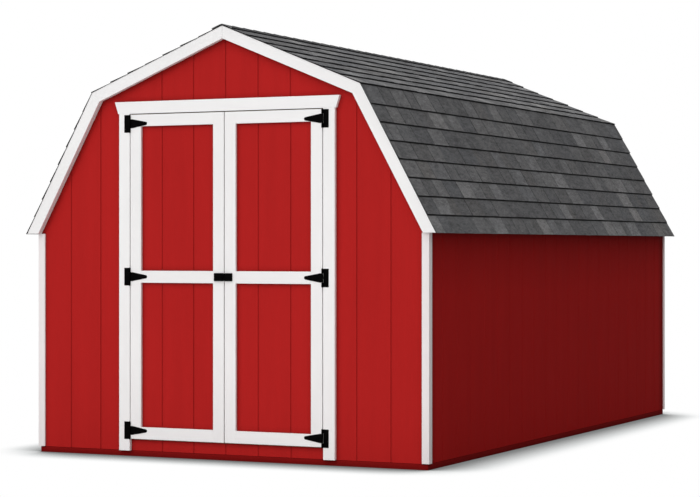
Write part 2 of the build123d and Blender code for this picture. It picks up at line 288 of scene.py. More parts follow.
def softwood(name, pale, dark, rough=0.72, knots=True, outside=None):
    """Sawn softwood: growth rings drawn out along each board, and a few knots."""
    m = Mat(name, pale, rough, 0.22)
    g = m.attr("grain", "Vector")
    wob = m.noise(m.scale(g, (0.9, 5.0, 5.0)), 2.0, 3.0, 0.5, 0.2, "Color")
    bent = m.node("ShaderNodeVectorMath", operation="MULTIPLY_ADD")
    m.put(bent.inputs[0], wob)
    bent.inputs[1].default_value = (0.0, 0.035, 0.035)
    m.put(bent.inputs[2], g)
    rings = m.node("ShaderNodeTexWave", {"Vector": m.scale(bent.outputs[0], (0.25, 1.0, 0.55)), "Scale": 34.0,
                                         "Distortion": 2.2, "Detail": 3.0, "Detail Scale": 1.2},
                   wave_type="BANDS", bands_direction="Y")
    ring = rings.outputs["Fac"]
    pore = m.noise(m.scale(g, (4.0, 160.0, 160.0)), 5.0, 4.0, 0.6)
    col = m.mix(m.range(ring, 0.15, 1.0), pale, dark)
    col = m.mix(m.range(pore, 0.35, 0.75, 0.0, 0.35), col, tuple(c * 0.62 for c in dark))
    tint = m.ramp(m.attr("rnd"), [(0.0, (0.82, 0.80, 0.78)), (0.5, (0.97, 0.95, 0.92)), (1.0, (1.0, 1.0, 1.0))])
    col = m.mix(1.0, col, tint, "MULTIPLY")
    if knots:
        spot = m.node("ShaderNodeTexVoronoi", {"Vector": m.scale(g, (1.3, 7.0, 7.0)), "Scale": 1.0,
                                               "Randomness": 1.0})
        near = m.math("ADD", spot.outputs["Distance"], m.range(wob, 0.0, 1.0, -0.03, 0.03))
        col = m.mix(m.range(near, 0.05, 0.12, 0.85, 0.0, True), col, (0.13, 0.055, 0.02))
    if outside is not None:
        o = m.obj()
        s = m.sep(o)
        edge = m.math("MAXIMUM", m.math("SUBTRACT", m.math("ABSOLUTE", s[0]), (ix - 1.5) * MM),
                      m.math("SUBTRACT", m.math("ABSOLUTE", s[1]), (iy - 1.5) * MM))
        shown = m.math("GREATER_THAN", edge, 0.0)
        col = m.mix(shown, col, outside)
        m.put(m.b.inputs["Specular IOR Level"], m.range(shown, 0.0, 1.0, 0.22, 0.03))
    m.colour(col)
    m.rough(m.range(pore, 0.3, 0.7, rough - 0.06, rough + 0.08))
    m.bump(m.math("ADD", m.math("MULTIPLY", ring, 0.4), pore), 0.3, 0.0005)
    return m.m


def plywood(name, pale, dark):
    """Rotary-cut face veneer: broad wandering figure with small patches."""
    m = Mat(name, pale, 0.7, 0.2)
    g = m.attr("grain", "Vector")
    big = m.noise(m.scale(g, (0.35, 2.6, 2.6)), 1.6, 3.0, 0.5, 0.6)
    lines = m.math("FRACT", m.math("MULTIPLY", big, 17.0))
    tri = m.math("ABSOLUTE", m.math("SUBTRACT", lines, 0.5))
    pore = m.noise(m.scale(g, (5.0, 140.0, 140.0)), 4.0, 4.0, 0.6)
    col = m.mix(m.range(tri, 0.0, 0.5, 0.0, 0.75), pale, dark)
    col = m.mix(m.range(pore, 0.4, 0.8, 0.0, 0.4), col, tuple(c * 0.6 for c in dark))
    tint = m.ramp(m.attr("rnd"), [(0.0, (0.86, 0.84, 0.82)), (1.0, (1.0, 1.0, 1.0))])
    col = m.mix(1.0, col, tint, "MULTIPLY")
    m.colour(col)
    m.bump(m.math("ADD", tri, pore), 0.22, 0.0004)
    return m.m


def strand_board(name, paint=None):
    """Strand board: flat flakes laid every way, each with its own shade."""
    m = Mat(name, (0.45, 0.30, 0.16), 0.75, 0.2)
    g = m.attr("grain", "Vector")
    warp = m.noise(g, 9.0, 2.0, 0.5, 0.0, "Color")
    v = m.node("ShaderNodeVectorMath", operation="MULTIPLY_ADD")
    m.put(v.inputs[0], warp)
    v.inputs[1].default_value = (0.05, 0.05, 0.05)
    m.put(v.inputs[2], g)
    w = v.outputs[0]
    a = m.voronoi(m.scale(w, (12.0, 42.0, 42.0), (0.3, 0.2, 0.5)), 1.0, "Color")
    b = m.voronoi(m.scale(w, (40.0, 13.0, 40.0), (0.1, 0.4, 0.9)), 1.0, "Color")
    pick = m.math("GREATER_THAN", m.noise(g, 14.0, 1.0, 0.5), 0.5)
    cell = m.mix(pick, a, b)
    grey = m.node("ShaderNodeRGBToBW", {"Color": cell}).outputs["Val"]
    col = m.ramp(grey, [(0.1, (0.22, 0.125, 0.055)), (0.4, (0.45, 0.29, 0.15)), (0.65, (0.58, 0.42, 0.24)),
                        (0.95, (0.70, 0.55, 0.34))])
    fibre = m.noise(m.scale(w, (30.0, 160.0, 160.0)), 2.0, 3.0, 0.6)
    col = m.mix(m.range(fibre, 0.4, 0.8, 0.0, 0.35), col, (0.20, 0.11, 0.05))
    m.colour(col)
    m.bump(m.math("ADD", grey, m.math("MULTIPLY", fibre, 0.3)), 0.4, 0.0008)
    return m.m


def sheet_back(name):
    """The bare back of a siding sheet: pale brown pressed fibre."""
    m = Mat(name, (0.36, 0.25, 0.15), 0.82, 0.15)
    o = m.obj()
    a = m.noise(m.scale(o, (60.0, 60.0, 18.0)), 3.0, 5.0, 0.65)
    b = m.noise(o, 2.2, 3.0, 0.5)
    col = m.mix(m.range(a, 0.3, 0.7), (0.28, 0.19, 0.11), (0.42, 0.30, 0.19))
    col = m.mix(m.range(b, 0.35, 0.7, 0.0, 0.35), col, (0.24, 0.165, 0.10))
    m.colour(col)
    m.bump(a, 0.3, 0.0006)
    return m.m


def granules(name, low, high, slope_light_gain=1.0, dark_from=0.912, deep=0.92):
    """Mineral granules on laminated shingles. Each tab has its own tone. Under the butt of the course above lies a
    dark band: painted shadow of that butt, partly the printed shadow band of such shingles."""
    m = Mat(name, low, 0.93, 0.18)
    o = m.obj()
    tone, hue, up = m.attr("tone"), m.attr("hue"), m.attr("up")
    base = m.ramp(tone, [(0.0, tuple(c * slope_light_gain for c in low)), (1.0, tuple(c * slope_light_gain for c in high))])
    tint = m.ramp(hue, [(0.0, (1.025, 1.0, 0.97)), (0.25, (1.006, 1.0, 0.994)), (0.5, (1.0, 1.0, 1.0)),
                        (0.75, (0.995, 1.0, 1.008)), (1.0, (0.982, 1.0, 1.02))])
    base = m.mix(1.0, base, tint, "MULTIPLY")
    grit = m.voronoi(o, 520.0, "Color")
    g = m.node("ShaderNodeRGBToBW", {"Color": grit}).outputs["Val"]
    drawn = m.scale(o, (1.0, 0.36, 1.0))
    blot = m.noise(drawn, 62.0, 4.0, 0.7)
    patch = m.noise(drawn, 22.0, 3.0, 0.6)
    mott = m.math("ADD", m.range(g, 0.15, 0.85, 0.62, 1.38),
                  m.math("ADD", m.range(blot, 0.3, 0.7, -0.30, 0.30), m.range(patch, 0.3, 0.7, -0.16, 0.16)))
    grey = m.node("ShaderNodeCombineColor")
    for i in range(3):
        m.put(grey.inputs[i], mott)
    base = m.mix(1.0, base, grey.outputs[0], "MULTIPLY")
    # painted shadow under each butt, with a ragged lower edge
    band_edge_noise = m.noise(o, 11.0, 3.0, 0.6)
    butt_shadow_band = m.range(m.math("ADD", up, m.range(band_edge_noise, 0.3, 0.7, -0.008, 0.008)), dark_from, dark_from + 0.033, 0.0, deep, True)
    base = m.mix(butt_shadow_band, base, tuple(c * 0.12 for c in low))
    m.colour(base)
    m.rough(m.range(g, 0.0, 1.0, 0.86, 0.98))
    m.bump(m.math("ADD", g, m.math("MULTIPLY", blot, 0.5)), 0.55, 0.0011)
    return m.m


def asphalt(name):
    """Cut edge and underside of a shingle: black asphalt with a fine tooth."""
    m = Mat(name, (0.012, 0.012, 0.013), 0.85, 0.2)
    o = m.obj()
    n = m.noise(o, 240.0, 4.0, 0.6)
    m.colour(m.mix(m.range(n, 0.3, 0.7), (0.0045, 0.0045, 0.005), (0.014, 0.0135, 0.0135)))
    m.bump(n, 0.5, 0.0008)
    return m.m


def black_iron(name):
    """Black powder coat over stamped steel, a little uneven in tone."""
    m = Mat(name, (0.0012, 0.0012, 0.0012), 0.6, 0.025)
    o = m.obj()
    peel = m.noise(o, 420.0, 3.0, 0.55)
    dust = m.noise(o, 38.0, 4.0, 0.6)
    m.colour(m.mix(m.range(dust, 0.4, 0.75, 0.0, 1.0), (0.0008, 0.0008, 0.0009), (0.0022, 0.0021, 0.0021)))
    m.rough(m.range(peel, 0.3, 0.7, 0.5, 0.65))
    m.bump(peel, 0.25, 0.0003)
    return m.m


red_base = (0.443, 0.0124, 0.0115)
M = {
    "red": red_paint("red_siding_paint", red_base),
    # the side walls get a darker copy of the red paint: painted shade
    "red_side": red_paint("red_side_paint_shaded", (0.406, 0.0112, 0.0104), spec=0.02, side_painted_shade=True),
    "base": red_paint("base_strip_paint", (0.235, 0.0060, 0.0060), along=1, spec=0.02),
    "red_low": red_paint("soffit_paint", (0.27, 0.008, 0.008), along=1),
    "white": white_paint("white_trim_paint"),
    # the corner trims get a darker, pinker copy of the white paint: painted shade and painted red light thrown off the
    # siding
    "white_corner": white_paint("white_corner_paint_shaded", (0.872, 0.826, 0.824)),
    "back": sheet_back("siding_back"),
    "wood": softwood("framing_softwood", (0.62, 0.42, 0.22), (0.42, 0.24, 0.10)),
    "floor": softwood("floor_frame_wood", (0.42, 0.33, 0.17), (0.27, 0.19, 0.085), outside=(0.135, 0.0022, 0.0022)),
    "ply": plywood("plywood_face", (0.60, 0.42, 0.23), (0.45, 0.28, 0.13)),
    "osb": strand_board("strand_board"),
    # one granule colour at a different gain on each slope: painted light and shade, lightest on the upper slopes,
    # which also get a wider, darker butt band
    "grit_low": granules("shingle_granules_lower", (0.092, 0.092, 0.095), (0.215, 0.213, 0.213), 1.45),
    "grit_up": granules("shingle_granules_upper", (0.092, 0.092, 0.095), (0.215, 0.213, 0.213), 2.16, 0.832, 0.985),
    "grit_cap": granules("shingle_granules_cap", (0.092, 0.092, 0.095), (0.180, 0.180, 0.180), 1.25),
    "asphalt": asphalt("shingle_asphalt"),
    "iron": black_iron("black_powder_coat"),
}


# ---------------------------------------------------------------- mesh builder
class Build:
    """Closed shapes in millimetres, gathered into one mesh object.

    grain  a vector on points, in metres, with its X along the board
    rnd, tone, hue  one number for each face
    up  a number on points, from a shingle's butt up to the next course
    """

    FACE = ("rnd", "tone", "hue")

    def __init__(self):
        self.v, self.f, self.m = [], [], []
        self.grain, self.up = [], []
        self.face = {k: [] for k in self.FACE}

    def add(self, verts, faces, mats=0, grain=None, up=None, **per_face):
        n = len(self.v)
        self.v += [tuple(p) for p in verts]
        self.grain += grain if grain is not None else [(p[0] * MM, p[1] * MM, p[2] * MM) for p in verts]
        self.up += up if up is not None else [0.5] * len(verts)
        for i, f in enumerate(faces):
            self.f.append([n + k for k in f])
            self.m.append(mats[i] if isinstance(mats, (list, tuple)) else mats)
            for k in self.FACE:
                q = per_face.get(k, 0.5)
                self.face[k].append(q[i] if isinstance(q, (list, tuple)) else q)

    def board(self, pts, axis, lo, hi, along, rng, bevel=0.0, mat=0, segments=2, every_edge=False):
        """A prism with its outline in the plane across axis. Its long edges, or
        every edge, are eased by bevel. Its grain runs along the given direction."""
        put = {"x": lambda a, b, c: (c, a, b), "y": lambda a, b, c: (a, c, b), "z": lambda a, b, c: (a, b, c)}[axis]
        bm = bmesh.new()
        n = len(pts)
        low = [bm.verts.new(put(p[0], p[1], lo)) for p in pts]
        top = [bm.verts.new(put(p[0], p[1], hi)) for p in pts]
        bm.faces.new(low)
        bm.faces.new(top[::-1])
        for i in range(n):
            j = (i + 1) % n
            bm.faces.new((low[i], top[i], top[j], low[j]))
        bmesh.ops.recalc_face_normals(bm, faces=bm.faces[:])
        u = Vector(along).normalized()
        if bevel > 0:
            bm.edges.ensure_lookup_table()
            ease = []
            for e in bm.edges:
                d = (e.verts[1].co - e.verts[0].co).normalized()
                if e.calc_face_angle_signed(0) > 0.3 and (every_edge or abs(d.dot(u)) > 0.98):
                    ease.append(e)
            bmesh.ops.bevel(bm, geom=ease, offset=bevel, offset_type="OFFSET", segments=segments,
                            profile=0.5, affect="EDGES", clamp_overlap=True)
        # turn the prism's n-gons into faces with at most four corners
        big = [f for f in bm.faces if len(f.verts) > 4]
        if big:
            bmesh.ops.triangulate(bm, faces=big)
        bm.verts.ensure_lookup_table()
        bm.verts.index_update()
        ref = Vector((0, 0, 1)) if abs(u.z) < 0.9 else Vector((0, 1, 0))
        w = u.cross(ref).normalized()
        v = w.cross(u)
        off = Vector((rng.uniform(-9, 9), rng.uniform(-9, 9), rng.uniform(-9, 9)))
        verts = [tuple(q.co) for q in bm.verts]
        grain = [tuple(Vector((q.co.dot(u), q.co.dot(v), q.co.dot(w))) * MM + off) for q in bm.verts]
        faces = [[q.index for q in f.verts] for f in bm.faces]
        bm.free()
        self.add(verts, faces, mat, grain=grain, rnd=rng.random())

    def box(self, x0, x1, y0, y1, z0, z1, along, rng, **k):
        if along == "x":
            self.board([(y0, z0), (y1, z0), (y1, z1), (y0, z1)], "x", x0, x1, (1, 0, 0), rng, **k)
        elif along == "y":
            self.board([(x0, z0), (x1, z0), (x1, z1), (x0, z1)], "y", y0, y1, (0, 1, 0), rng, **k)
        else:
            self.board([(x0, y0), (x1, y0), (x1, y1), (x0, y1)], "z", z0, z1, (0, 0, 1), rng, **k)

    def turned(self, cx, cy, z, rings, sides=20, axis="z"):
        """A turned shape: rings are (height, radius), from one end to the other."""
        verts, faces = [], []
        put = {"z": lambda a, b, h: (cx + a, cy + b, z + h), "y": lambda a, b, h: (cx + a, cy + h, z + b)}[axis]
        for h, r in rings:
            for i in range(sides):
                t = 2 * math.pi * i / sides
                verts.append(put(r * math.cos(t), r * math.sin(t), h))
        for k in range(len(rings) - 1):
            for i in range(sides):
                j = (i + 1) % sides
                faces.append((k * sides + i, k * sides + j, (k + 1) * sides + j, (k + 1) * sides + i))
        a, b = len(verts), len(verts) + 1
        verts += [put(0, 0, rings[0][0]), put(0, 0, rings[-1][0])]
        last = (len(rings) - 1) * sides
        for i in range(sides):
            j = (i + 1) % sides
            faces.append((a, j, i))
            faces.append((b, last + i, last + j))
        self.add(verts, faces, 0)

    def make(self, name, body, slot, materials, nodes, smooth_angle=None):
        mesh = bpy.data.meshes.new(name)
        mesh.from_pydata([(x * MM, y * MM, z * MM) for x, y, z in self.v], [], self.f)
        for m in materials:
            mesh.materials.append(m)
        mesh.polygons.foreach_set("material_index", self.m)
        g = mesh.attributes.new("grain", "FLOAT_VECTOR", "POINT")
        g.data.foreach_set("vector", [c for p in self.grain for c in p])
        a = mesh.attributes.new("up", "FLOAT", "POINT")
        a.data.foreach_set("value", self.up)
        for k in self.FACE:
            a = mesh.attributes.new(k, "FLOAT", "CORNER")
            vals = []
            for f, q in zip(self.f, self.face[k]):
                vals += [q] * len(f)
            a.data.foreach_set("value", vals)
        bm = bmesh.new()
        bm.from_mesh(mesh)
        bmesh.ops.recalc_face_normals(bm, faces=bm.faces[:])
        if smooth_angle is not None:
            lim = math.radians(smooth_angle)
            for f in bm.faces:
                f.smooth = True
            for e in bm.edges:
                if not e.is_manifold or e.calc_face_angle(0) > lim:
                    e.smooth = False
        bm.to_mesh(mesh)
        bm.free()
        mesh.update()
        ob = bpy.data.objects.new(name, mesh)
        bpy.context.scene.collection.objects.link(ob)
        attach(ob, body)
        if nodes:
            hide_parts(*nodes)
        return ob


def flip(points):
    return [(-a, b) for a, b in points]


def upper_piece(d0, d1, gap=0.5):
    return [(gap, upper_z(gap, d0)), knuckle(d0), knuckle(d1), (gap, upper_z(gap, d1))]


def lower_piece(d0, d1, foot=eave_z):
    return [knuckle(d0), (lower_x(foot, d0), foot), (lower_x(foot, d1), foot), knuckle(d1)]


# ---------------------------------------------------------------------- siding
groove_w, groove_d, groove_c = 8.6, 2.8, 1.3


def siding(bld, lo, hi, z0, top, breaks, grooves, place, thick=siding_t, groove_w=groove_w, groove_d=groove_d):
    """A closed sheet with upright grooves. place(u, w, z) puts a point that is
    u along the wall and w in from its outer plane."""
    pts = {lo: 0.0, hi: 0.0}
    for g in grooves:
        if g - groove_w < lo or g + groove_w > hi:
            continue
        h = groove_w / 2
        for q, w in ((g - h, 0.0), (g - h + groove_c, groove_d), (g + h - groove_c, groove_d), (g + h, 0.0)):
            pts[q] = w
    for b in breaks:
        if lo < b < hi and b not in pts:
            inside = any(abs(b - g) < groove_w / 2 - groove_c for g in grooves)
            pts[b] = groove_d if inside else 0.0
    us = sorted(pts)
    n = len(us)
    verts = []
    for u in us:
        verts += [place(u, pts[u], z0), place(u, pts[u], top(u)), place(u, thick, z0), place(u, thick, top(u))]
    faces, mats = [], []
    for i in range(n - 1):
        a, b = 4 * i, 4 * (i + 1)
        faces += [(a, b, b + 1, a + 1), (a + 2, a + 3, b + 3, b + 2), (a + 1, b + 1, b + 3, a + 3), (a, a + 2, b + 2, b)]
        mats += [0, 1, 1, 0]
    faces += [(0, 1, 3, 2), (4 * n - 4, 4 * n - 2, 4 * n - 1, 4 * n - 3)]
    mats += [0, 0]
    bld.add(verts, faces, mats)


sd = rafter_d0
kx = knuckle(sd)[0]
front_at = lambda u, w, z: (u, -hy + w, z)
rear_at = lambda u, w, z: (u, hy - w, z)
x_grooves = [8 * IN * k for k in range(-5, 6)]
front_grooves = {"front_siding_left": [-1012.0, -812.8],
                 "front_siding_right": [803.1, 1005.5],
                 "front_siding_over_door": [-409.5, -206.0, -2.0, 202.2, 401.5],
                 "front_siding_under_door": x_grooves}
leaf_grooves = {"left": [-404.4, -202.2], "right": [206.0, 406.4]}
y_grooves = [-hy + 8 * IN * k for k in range(1, 21)]
gable_top = lambda u: roof_z(u, sd)

for name, lo, hi, z0, top in (
        ("front_siding_left", -hx, -door_half, siding_bottom, gable_top),
        ("front_siding_right", door_half, hx, siding_bottom, gable_top),
        ("front_siding_over_door", -door_half, door_half, head_z0, gable_top),
        ("front_siding_under_door", -door_half, door_half, siding_bottom, lambda u: leaf_z0 - door_gap)):
    b = Build()
    siding(b, lo, hi, z0, top, (-kx, 0.0, kx), front_grooves[name], front_at)
    b.make(name + "_sheet", "barn", "red_siding", [M["red"], M["back"]], [name])

b = Build()
siding(b, -hx, hx, siding_bottom, gable_top, (-kx, 0.0, kx), x_grooves, rear_at)
b.make("rear_siding_sheet", "barn", "red_siding", [M["red"], M["back"]], ["rear_siding"])

for side, s in (("left", -1), ("right", 1)):
    b = Build()
    siding(b, -iy, iy, siding_bottom, lambda u: eave_z, (), y_grooves, lambda u, w, z, s=s: (s * (hx - w), u, z),
           siding_t, 5.0, 1.0)
    b.make(side + "_siding_sheet", "barn", "red_siding", [M["red_side"], M["back"]], [side + "_siding"])

# ------------------------------------------------------------------ floor frame
rng = random.Random(11)
b = Build()
for s in (-1, 1):
    b.box(s * (ix - lumber_t), s * ix, -iy, iy, 0, lumber_w, "y", rng, bevel=2.5) if s > 0 else \
        b.box(-ix, -ix + lumber_t, -iy, iy, 0, lumber_w, "y", rng, bevel=2.5)
b.make("floor_rim_boards", "barn", "floor_frame", [M["floor"]], ["floor_rims"])

# strips round the foot of the frame, flush with the siding
b = Build()
for s in (-1, 1):
    x0, x1 = sorted((s * ix, s * hx))
    b.box(x0, x1, -hy, hy, 0, base_top, "y", rng, bevel=0.8)
    y0, y1 = sorted((s * iy, s * hy))
    b.box(-ix, ix, y0, y1, 0, base_top, "x", rng, bevel=0.8)
b.make("base_strip_boards", "barn", "floor_frame", [M["base"]], ["base_strips"])

stations = [-iy + lumber_t / 2]
while stations[-1] + pitch < iy - lumber_t / 2 - 100:
    stations.append(stations[-1] + pitch)
stations.append(iy - lumber_t / 2)

b = Build()
for y in stations:
    b.box(-ix + lumber_t, ix - lumber_t, y - lumber_t / 2, y + lumber_t / 2, 0, lumber_w, "x", rng, bevel=2.5)
b.make("floor_joist_boards", "barn", "floor_frame", [M["floor"]], ["floor_joists"])

b = Build()
cuts = [-iy, -iy + 1219.2, -iy + 2438.4, -iy + 3657.6, iy]
for a, c in zip(cuts, cuts[1:]):
    b.box(-ix, ix, a + (1.2 if a > -iy else 0), c - (1.2 if c < iy else 0), lumber_w, deck_top, "x", rng, bevel=0.8)
b.make("floor_deck_sheets", "barn", "plywood", [M["ply"]], ["floor_deck"])

# ----------------------------------------------------------------- wall framing
EASE = 2.6
b = Build()
for s in (-1, 1):
    x0, x1 = sorted((s * wx, s * ix))
    b.box(x0, x1, -iy, iy, deck_top, sole_top, "y", rng, bevel=EASE)
    b.box(x0, x1, -iy, iy, plate_top - lumber_t, plate_top, "y", rng, bevel=EASE)
b.make("side_wall_plate_boards", "barn", "framing_lumber", [M["wood"]], ["side_wall_plates"])

b = Build()
for s in (-1, 1):
    x0, x1 = sorted((s * wx, s * ix))
    for y in stations:
        b.box(x0, x1, y - lumber_t / 2, y + lumber_t / 2, sole_top, plate_top - lumber_t, "z", rng, bevel=EASE)
b.make("side_wall_stud_boards", "barn", "framing_lumber", [M["wood"]], ["side_wall_studs"])

fy0, fy1 = -iy, -iy + lumber_w
ry0, ry1 = iy - lumber_w, iy
jack_x1 = door_half + lumber_t
b = Build()
for x0, x1, y0, y1 in ((-wx, -door_half, fy0, fy1), (door_half, wx, fy0, fy1), (-wx, wx, ry0, ry1)):
    b.box(x0, x1, y0, y1, deck_top, sole_top, "x", rng, bevel=EASE)
b.make("end_wall_plate_boards", "barn", "framing_lumber", [M["wood"]], ["end_wall_plates"])


def gable_stud(bld, x0, x1, y0, y1, z0):
    k = knuckle(rafter_d1)[0]
    pts = [(x0, z0), (x1, z0), (x1, roof_z(x1, rafter_d1))]
    for q in (k, -k):
        if x0 < q < x1:
            pts.append((q, roof_z(q, rafter_d1)))
    if x0 < 0 < x1:
        pts.append((0, roof_z(0, rafter_d1)))
    pts.append((x0, roof_z(x0, rafter_d1)))
    bld.board(pts, "y", y0, y1, (0, 0, 1), rng, bevel=EASE)


b = Build()
header_top = head_z0 + lumber_w
h = lumber_t / 2
for x in (jack_x1 + h, 885.0, wx - h):
    gable_stud(b, x - h, x + h, fy0, fy1, sole_top)
    gable_stud(b, -x - h, -x + h, fy0, fy1, sole_top)
gable_stud(b, -h, h, fy0, fy1, header_top)
for x in (-wx + h, -812.8, -406.4, 0.0, 406.4, 812.8, wx - h):
    gable_stud(b, x - h, x + h, ry0, ry1, sole_top)
b.make("end_wall_stud_boards", "barn", "framing_lumber", [M["wood"]], ["end_wall_studs"])

b = Build()
b.box(-jack_x1, -door_half, fy0, fy1, sole_top, head_z0, "z", rng, bevel=EASE)
b.box(door_half, jack_x1, fy0, fy1, sole_top, head_z0, "z", rng, bevel=EASE)
b.make("door_jack_stud_boards", "barn", "framing_lumber", [M["wood"]], ["door_jack_studs"])

b = Build()
b.box(-jack_x1, jack_x1, fy0, fy0 + lumber_t, head_z0, header_top, "x", rng, bevel=EASE)
b.box(-jack_x1, jack_x1, fy0 + lumber_t, fy1 - lumber_t, head_z0, header_top, "x", rng)
b.box(-jack_x1, jack_x1, fy1 - lumber_t, fy1, head_z0, header_top, "x", rng, bevel=EASE)
b.make("door_header_boards", "barn", "framing_lumber", [M["wood"]], ["door_header"])

# ---------------------------------------------------------------------- trusses
up_dir = (math.cos(ang_u), 0, -math.sin(ang_u))
lo_dir = (math.cos(ang_l), 0, -math.sin(ang_l))
b, c = Build(), Build()
for y in stations:
    for s in (-1, 1):
        u = (s * up_dir[0], 0, up_dir[2])
        w = (s * lo_dir[0], 0, lo_dir[2])
        p = upper_piece(rafter_d0, rafter_d1)
        q = lower_piece(rafter_d0, rafter_d1, plate_top)
        b.board(p if s > 0 else flip(p), "y", y - h, y + h, u, rng, bevel=EASE)
        c.board(q if s > 0 else flip(q), "y", y - h, y + h, w, rng, bevel=EASE)
b.make("upper_rafter_boards", "barn", "framing_lumber", [M["wood"]], ["upper_rafters"])
c.make("lower_rafter_boards", "barn", "framing_lumber", [M["wood"]], ["lower_rafters"])


def on_upper(dist, d):
    a = knuckle(d)
    return (a[0] - dist * math.cos(ang_u), a[1] + dist * math.sin(ang_u))


def on_lower(dist, d):
    a = knuckle(d)
    return (a[0] + dist * math.cos(ang_l), a[1] - dist * math.sin(ang_l))


gd = rafter_d0 + 1.5
kg = [on_upper(230, gd), knuckle(gd), on_lower(230, gd), on_lower(190, rafter_d1), on_upper(190, rafter_d1)]
xg, xh = 230 * math.cos(ang_u), 185 * math.cos(ang_u)
rg = [(0, upper_z(0, gd)), (xg, upper_z(xg, gd)), (xh, upper_z(xh, rafter_d1)),
      (-xh, upper_z(xh, rafter_d1)), (-xg, upper_z(xg, gd))]
b = Build()
nails = Build()
for y in stations[1:-1]:
    for s in (-1, 1):
        a0 = y + s * h
        a1 = a0 + s * 11.1
        y0, y1 = min(a0, a1), max(a0, a1)
        b.board(kg, "y", y0, y1, (1, 0, -1), rng, bevel=0.6, every_edge=True)
        b.board(flip(kg), "y", y0, y1, (1, 0, 1), rng, bevel=0.6, every_edge=True)
        b.board(rg, "y", y0, y1, (1, 0, 0), rng, bevel=0.6, every_edge=True)
        # nail heads through the gussets into the rafters
        face = y0 - 0.6 if s < 0 else y1 + 0.6
        turn = -1 if s < 0 else 1
        spots = []
        for dist in (40, 95, 150, 200):
            for d in (gd + 18, rafter_d1 - 22):
                spots += [on_upper(dist + (15 if d > 60 else 0), d), on_lower(dist + (15 if d > 60 else 0), d)]
        for px, pz in spots:
            for m in (-1, 1):
                nails.turned(m * px, face - turn * 0.6, pz, [(0, 3.2), (turn * 0.5, 3.2), (turn * 0.9, 2.4)], 8, "y")
        for px in (30, 85, 140, 195):
            for m in (-1, 1):
                for d in (gd + 18, rafter_d1 - 22):
                    nails.turned(m * px, face - turn * 0.6, upper_z(px, d), [(0, 3.2), (turn * 0.5, 3.2), (turn * 0.9, 2.4)], 8, "y")
b.make("truss_gusset_plates", "barn", "plywood", [M["ply"]], ["truss_gussets"])

# ------------------------------------------------------------ white trim boards
TRIM = 1.1
b = Build()
x_out, y_out = hx + corner_t, hy + corner_t
for sx in (-1, 1):
    leg = [(sx * x_out, -y_out), (sx * x_out, -y_out + corner_w), (sx * hx, -y_out + corner_w),
           (sx * hx, -hy), (sx * (x_out - corner_w), -hy), (sx * (x_out - corner_w), -y_out)]
    b.board(leg, "z", corner_bottom, eave_z, (0, 0, 1), rng, bevel=TRIM, every_edge=True)
    x0, x1 = sorted((sx * (x_out - corner_w), sx * x_out))
    b.box(x0, x1, hy, y_out, corner_bottom, eave_z, "z", rng, bevel=TRIM, every_edge=True)
b.make("corner_trim_boards", "barn", "white_trim", [M["white_corner"]], ["corner_trims"])

for top in (True, False):
    a, c = Build(), Build()
    for s in (-1, 1):
        for e in (-1, 1):
            piece = upper_piece if top else lower_piece
            d = up_dir if top else lo_dir
            fly, rake = piece(rafter_d0, fly_low), piece(shingle_t, rake_low)
            y0, y1 = sorted((s * hy, s * (hy + fly_t)))
            a.board(fly if e > 0 else flip(fly), "y", y0, y1, (e * d[0], 0, d[2]), rng, bevel=1.5)
            y0, y1 = sorted((s * (hy + fly_t), s * (hy + fly_t + rake_t)))
            c.board(rake if e > 0 else flip(rake), "y", y0, y1, (e * d[0], 0, d[2]), rng, bevel=TRIM, every_edge=True)
    word = "upper" if top else "lower"
    a.make("fly_rafter_boards_" + word, "barn", "white_trim", [M["white"]], ["fly_rafters_" + word])
    c.make("rake_trim_boards_" + word, "barn", "white_trim", [M["white"]], ["rake_boards_" + word])

b = Build()
soffit = [(hx, eave_z), (lower_x(eave_z, rafter_d0), eave_z), (lower_x(plate_top, rafter_d0), plate_top), (hx, plate_top)]
for s in (-1, 1):
    b.board(soffit if s > 0 else flip(soffit), "y", -hy, hy, (0, 1, 0), rng)
b.make("eave_soffit_boards", "barn", "soffit", [M["red_low"]], ["eave_soffits"])

b = Build()
for s in (-1, 1):
    x0, x1 = sorted((s * door_half, s * (door_half + casing_w)))
    b.box(x0, x1, -hy - casing_t, -hy, casing_bottom, head_z0, "z", rng, bevel=TRIM + 0.3, every_edge=True)
b.make("door_casing_boards", "barn", "white_trim", [M["white"]], ["door_casings"])

b = Build()
b.board([(-head_half0, head_z0), (head_half0, head_z0), (head_half1, head_z1), (-head_half1, head_z1)],
        "y", -hy - casing_t, -hy, (1, 0, 0), rng, bevel=TRIM + 0.3, every_edge=True)
b.make("door_head_board", "barn", "white_trim", [M["white"]], ["door_head_trim"])

# ------------------------------------------------------------------ roof sheets
for top in (True, False):
    b = Build()
    piece = upper_piece if top else lower_piece
    d = up_dir if top else lo_dir
    p = piece(shingle_t, rafter_d0)
    seams = [-hy - fly_t, -732.0, 732.0, hy + fly_t] if top else [-hy - fly_t, 0.0, hy + fly_t]
    for s in (-1, 1):
        for y0, y1 in zip(seams, seams[1:]):
            b.board(p if s > 0 else flip(p), "y", y0 + (1 if y0 > -hy else 0), y1 - (1 if y1 < hy else 0), (0, 1, 0), rng)
    word = "upper" if top else "lower"
    b.make("roof_sheets_" + word, "barn", "roof_sheathing", [M["osb"]], ["roof_deck_" + word])

# --------------------------------------------------------------------- shingles
YS0, YS1 = -hy - overhang, hy + overhang
TAB_TOP = 6.5          # how deep a course lies where the next one starts


def slope_point(top, s, d):
    """Right slope, s up from its lower edge on the outline and d inside it."""
    if top:
        o, a = (knuckle_x, knuckle_z), ang_u
    else:
        o, a = (eave_x, eave_z), ang_l
    return (o[0] - s * math.cos(a) - d * math.sin(a), o[1] + s * math.sin(a) - d * math.cos(a))


